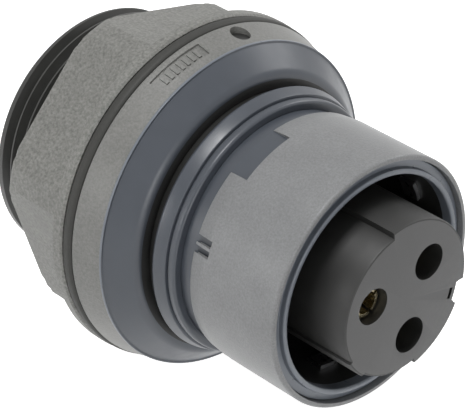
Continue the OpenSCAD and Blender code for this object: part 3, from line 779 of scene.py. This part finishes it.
# %% [markdown]
# ## Contact insert
#
# The insert is a rod whose front part has raised faces and a keyway, so that a plug fits in one
# position only. Its radius is a base radius along the axis plus a step that depends on the
# angle, faded in where the raised faces begin. The chambers and a blind slot are cut after.

# %% Contact insert
INSERT_R = 8.2 * MM
INSERT_COLLAR_R = radius("contact_insert")
LOBE_X0 = insert_x1 - 16 * MM
CHAMBER_R = 1.96 * MM
CONTACT_CIRCLE = 4.6 * MM
CONTACT_ANGLES = (43.2, 163.2, 283.2)
FACE_STEPS = ((-7.5, 103, 0.65), (-76, -25, 0.5), (-150, -130, 0.25), (-24, -8, -0.3))


def face_step(angle):
    """Radial step of the insert's front part at an angle in degrees, with flanks half a degree wide."""
    step = np.zeros_like(angle)
    for a0, a1, height in FACE_STEPS:
        inside = np.clip((angle - a0) / 0.5, 0, 1) * np.clip((a1 - angle) / 0.5, 0, 1)
        step = step + height * MM * inside
    return step


edges = [a + d for a0, a1, _ in FACE_STEPS for a, d in ((a0, 0), (a0, 0.5), (a1, 0), (a1, -0.5))]
insert_angles = np.unique(np.concatenate([np.arange(-180, 180, 2.0), edges]))
GROOVE_X = (PARTITION_X0 + seal_x0) / 2
stations = np.array([
    (insert_x0, INSERT_COLLAR_R - 0.2 * MM, 0), (insert_x0 + 0.2 * MM, INSERT_COLLAR_R, 0),
    (PARTITION_X0, INSERT_COLLAR_R, 0), (PARTITION_X0, INSERT_R, 0), (GROOVE_X - 0.7 * MM, INSERT_R, 0),
    (GROOVE_X - 0.7 * MM, INSERT_R - 0.92 * MM, 0), (GROOVE_X + 0.7 * MM, INSERT_R - 0.92 * MM, 0),
    (GROOVE_X + 0.7 * MM, INSERT_R, 0), (LOBE_X0 - 0.3 * MM, INSERT_R, 0), (LOBE_X0, INSERT_R, 1),
    (insert_x1 - 0.22 * MM, INSERT_R, 1), (insert_x1 - 0.06 * MM, INSERT_R - 0.06 * MM, 1),
    (insert_x1, INSERT_R - 0.22 * MM, 1)])
insert_r = stations[:, 1:2] + stations[:, 2:3] * face_step(insert_angles)[None]
insert_a = np.radians(insert_angles)[None]
insert = closed_piece("contact_insert_look", np.stack([
    stations[:, :1] + 0 * insert_r, insert_r * np.cos(insert_a), insert_r * np.sin(insert_a)], -1),
    joined=False)
chambers = [drill(CHAMBER_R, insert_x0 - MM, insert_x1 + MM, CONTACT_CIRCLE, a) for a in CONTACT_ANGLES]
blind_slot = sector(INSERT_R - 1.3 * MM, INSERT_R - 0.9 * MM, insert_x1 - 0.8 * MM, insert_x1 + MM,
                    -22, -12, 6)
machine(insert, chambers + [blind_slot])
# The front face keeps the insert's grey; its sides take the near-black nylon as painted shade inside the
# mouth.
dress(insert, "connector", [insert_nylon, painted_shade_nylon], ["contact_insert"],
      lambda centre: centre[:, 0] < insert_x1 - 0.02 * MM)

# %% [markdown]
# ## Contacts
#
# Each contact is turned from brass: a wire cup behind, a shoulder, and a socket in front that
# two slots split into four springy fingers. The first-mating contact stands nearer the face.

# %% Socket contacts
CONTACT_R = 1.8 * MM
SOCKET_R = 1.25 * MM
SOCKET_DEPTH = 9 * MM
CUP_R = 1.45 * MM
CUP_DEPTH = 4.2 * MM
SPLIT_LEN, SPLIT_WIDTH = 5 * MM, 0.35 * MM
CLIP_X = insert_x0 + 1.5 * MM


def contact_piece(number, angle):
    """One contact, turned about its own axis and then carried onto the contact circle."""
    x0, x1 = span(f"socket_contact_{number}")
    profile = rounded([(x, r, rounding * MM) for x, r, rounding in [
        (x0, 0.2 * MM, 0), (x0, CONTACT_R, 0.2), (insert_x0 - 1.9 * MM, CONTACT_R, 0),
        (insert_x0 - 1.9 * MM, 2.35 * MM, 0.1), (insert_x0, 2.35 * MM, 0.1), (insert_x0, CONTACT_R, 0),
        (CLIP_X - 0.55 * MM, CONTACT_R, 0), (CLIP_X - 0.55 * MM, CONTACT_R - 0.3 * MM, 0),
        (CLIP_X + 0.55 * MM, CONTACT_R - 0.3 * MM, 0), (CLIP_X + 0.55 * MM, CONTACT_R, 0),
        (x1, CONTACT_R, 0.25), (x1, 0.2 * MM, 0)]])
    points = around(profile, np.linspace(0, 2 * math.pi, 72, endpoint=False))
    points[..., 1] += CONTACT_CIRCLE
    piece = closed_piece(f"socket_contact_{number}_look", points, joined=False)
    tools = [drill(SOCKET_R, x1 - SOCKET_DEPTH, x1 + MM, CONTACT_CIRCLE),
             drill(CUP_R, x0 - MM, x0 + CUP_DEPTH, CONTACT_CIRCLE)]
    for tilt in (45, 135):
        split = block(x1 - SPLIT_LEN, x1 + MM, -3 * MM, 3 * MM, SPLIT_WIDTH, tilt)
        split.data.transform(Matrix.Translation((0, CONTACT_CIRCLE, 0)))
        tools.append(split)
    machine(piece, tools)
    piece.data.transform(Matrix.Rotation(math.radians(angle), 4, "X"))
    return dress(piece, "connector", [plated_brass], [f"socket_contact_{number}"])


for number, contact_angle in enumerate(CONTACT_ANGLES, 1):
    contact_piece(number, contact_angle)

# %% [markdown]
# ## Rear closure and seal
#
# Behind the insert lie an insulator plate and a ring with four slots for a key. They show only
# from behind. The seal on the floor of the mouth is a flat rubber ring.

# %% Rear insulator, retaining ring and interface seal
insulator = closed_piece("rear_insulator_look", around(rounded([
    (x, r, rounding * MM) for x, r, rounding in [
        (insulator_x0, 0.5 * MM, 0), (insulator_x0, radius("rear_insulator"), 0.2),
        (insulator_x1, radius("rear_insulator"), 0.1), (insulator_x1, 0.5 * MM, 0)]]),
    np.linspace(0, 2 * math.pi, AROUND, endpoint=False)), joined=False)
machine(insulator, [drill(CHAMBER_R, insulator_x0 - MM, insulator_x1 + MM, CONTACT_CIRCLE, a)
                    for a in CONTACT_ANGLES])
dress(insulator, "connector", [insert_nylon], ["rear_insulator"])

retainer = turned("insert_retainer_look", [
    (retainer_x0, 7.5 * MM, 0.2), (retainer_x0, radius("insert_retainer"), 0.2),
    (retainer_x1, radius("insert_retainer"), 0.1), (retainer_x1, 7.5 * MM, 0.1)])
machine(retainer, [block(retainer_x0 - MM, retainer_x0 + 1.2 * MM, 6.5 * MM, 12 * MM, 2 * MM, a)
                   for a in (0, 90, 180, 270)])
dress(retainer, "connector", [slate_nylon], ["insert_retainer"])

seal = turned("interface_seal_look", [
    (seal_x0, INSERT_R + SEAT_PLAY, 0.1), (seal_x0, mouth_r - SEAT_PLAY, 0.1),
    (seal_x1, mouth_r - SEAT_PLAY, 0.3), (seal_x1, INSERT_R + SEAT_PLAY, 0.3)])
dress(seal, "connector", [seal_rubber], ["interface_seal"])

# %% [markdown]
# ## Return spring
#
# A coil of drawn wire pushes the sleeve forward. It is a grid whose rows follow the helix and
# whose columns go round the wire. On the real part the coil shortens towards the hub as the
# sleeve is pulled; here it is built at one length.

# %% Return spring
SPRING_TURNS = 3
WIRE_R = 0.175 * MM
spring_x0, spring_x1 = span("return_spring")
along = np.linspace(0, 1, SPRING_TURNS * 64 + 1)[:, None]
section = np.linspace(0, 2 * math.pi, 12, endpoint=False)[None]
coil_a = 2 * math.pi * SPRING_TURNS * along
coil_x = spring_x0 + WIRE_R + (spring_x1 - spring_x0 - 2 * WIRE_R) * along + WIRE_R * np.sin(section)
coil_r = radius("return_spring") - WIRE_R + WIRE_R * np.cos(section)
spring = closed_piece("return_spring_look", np.stack([
    coil_x, coil_r * np.cos(coil_a), coil_r * np.sin(coil_a)], -1), joined=False)
dress(spring, "connector", [spring_steel], ["return_spring"])
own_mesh(spring)

# %% [markdown]
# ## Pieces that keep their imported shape
#
# The latches, clips and O-rings are right as they are, so they only get a material.

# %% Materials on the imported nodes
NODE_MATERIALS = {"latch": spring_steel, "contact_clip": spring_steel,
                  "insert_oring": seal_rubber, "shell_seal": seal_rubber}
for name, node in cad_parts.items():
    for start, material in NODE_MATERIALS.items():
        if name.startswith(start):
            node.data.materials.clear()
            node.data.materials.append(material)

# %% [markdown]
# ## Floor, background and light
#
# The floor is pale, and only the camera, glossy and transmitted rays see it as pure white. The
# connector is held by its panel, so it floats above the floor, where its shadow is soft.

# %% Floor and world
def direct_rays(owner):
    """One for camera, glossy and transmission rays, which see the backdrop as white, else zero."""
    path = add(owner, "ShaderNodeLightPath").outputs
    seen = add(owner, "ShaderNodeMath", {0: path["Is Camera Ray"], 1: path["Is Glossy Ray"]},
               operation="MAXIMUM").outputs[0]
    return add(owner, "ShaderNodeMath", {0: seen, 1: path["Is Transmission Ray"]},
               operation="MAXIMUM").outputs[0]


floor_z = cad_low.z - 12 * MM
FLOOR_HALF = 1.5
FLOOR_GLOW = 0.8
SKY_LEVEL = 0.16
floor = closed_piece("floor", np.array([
    [(x, y, floor_z - d) for x, y in ((-FLOOR_HALF, -FLOOR_HALF), (FLOOR_HALF, -FLOOR_HALF),
                                      (FLOOR_HALF, FLOOR_HALF), (-FLOOR_HALF, FLOOR_HALF))]
    for d in (0.0, 0.01)]), joined=False)
floor_paint = new_material("matt_white_backdrop")
seen = direct_rays(floor_paint)
matt = add(floor_paint, "ShaderNodeBsdfDiffuse", {"Color": linear("#f0f0f0")}).outputs["BSDF"]
glow = add(floor_paint, "ShaderNodeEmission", {"Color": linear("#ffffff"),
                                               "Strength": FLOOR_GLOW}).outputs["Emission"]
both = add(floor_paint, "ShaderNodeAddShader", {0: matt, 1: glow}).outputs["Shader"]
white = add(floor_paint, "ShaderNodeMixShader", {0: seen, 1: matt, 2: both}).outputs["Shader"]
close_material(floor_paint, white)
floor.data.materials.append(floor_paint)

world = bpy.data.worlds.new("studio")
bpy.context.scene.world = world
world.use_nodes = True
world.node_tree.nodes.clear()
strength = add(world, "ShaderNodeMapRange", {"Value": direct_rays(world), "To Min": SKY_LEVEL,
                                             "To Max": 1.0}).outputs["Result"]
sky = add(world, "ShaderNodeBackground", {"Color": linear("#ffffff"),
                                          "Strength": strength}).outputs["Background"]
add(world, "ShaderNodeOutputWorld", {"Surface": sky})

# %% [markdown]
# ## Camera and lamps
#
# A long lens stands to the front left of the plug's side and looks down on the connector. A
# soft lamp above gives the broad highlights, one from the left opens the shadows, one from the
# right lights the far side of the flange, and a low one in front draws the rounded edges.

# %% Camera
camera = bpy.data.objects.new("camera", bpy.data.cameras.new("camera"))
bpy.context.scene.collection.objects.link(camera)
bpy.context.scene.camera = camera
CAMERA_AT = Vector((0.16237, -0.15017, 0.13384))
CAMERA_BACK = Vector((0.6191, -0.5865, 0.5223)).normalized()
NEARLY_RIGHT = Vector((0.6831, 0.7303, 0.0102))
CAMERA_RIGHT = (NEARLY_RIGHT - CAMERA_BACK * CAMERA_BACK.dot(NEARLY_RIGHT)).normalized()
CAMERA_UP = CAMERA_BACK.cross(CAMERA_RIGHT)
camera.matrix_world = Matrix((
    (CAMERA_RIGHT.x, CAMERA_UP.x, CAMERA_BACK.x, CAMERA_AT.x),
    (CAMERA_RIGHT.y, CAMERA_UP.y, CAMERA_BACK.y, CAMERA_AT.y),
    (CAMERA_RIGHT.z, CAMERA_UP.z, CAMERA_BACK.z, CAMERA_AT.z), (0, 0, 0, 1)))
camera.data.lens = 188.4
camera.data.sensor_width = 36
camera.data.clip_start = 0.01
camera.data.clip_end = 10


# %% Lamps
def softbox(name, place, aim, size, power):
    """A square area lamp at a place, turned to shine at aim."""
    lamp = bpy.data.objects.new(name, bpy.data.lights.new(name, "AREA"))
    bpy.context.scene.collection.objects.link(lamp)
    lamp.data.size = size
    lamp.data.energy = power
    lamp.location = place
    lamp.rotation_mode = "QUATERNION"
    lamp.rotation_quaternion = (Vector(aim) - Vector(place)).to_track_quat("-Z", "Y")
    return lamp


middle = (cad_low + cad_high) / 2
softbox("top_softbox", (0.02, -0.12, 0.42), middle, 0.12, 1.1)
softbox("left_softbox", (-0.16, -0.42, 0.1), middle, 0.12, 0.28)
softbox("right_softbox", (0.05, 0.4, 0.25), middle, 0.2, 0.55)
softbox("front_softbox", (0.47, -0.16, 0.05), middle, 0.1, 0.38)
bpy.context.scene.view_settings.view_transform = "Standard"

# %% Update the scene
bpy.context.view_layer.update()
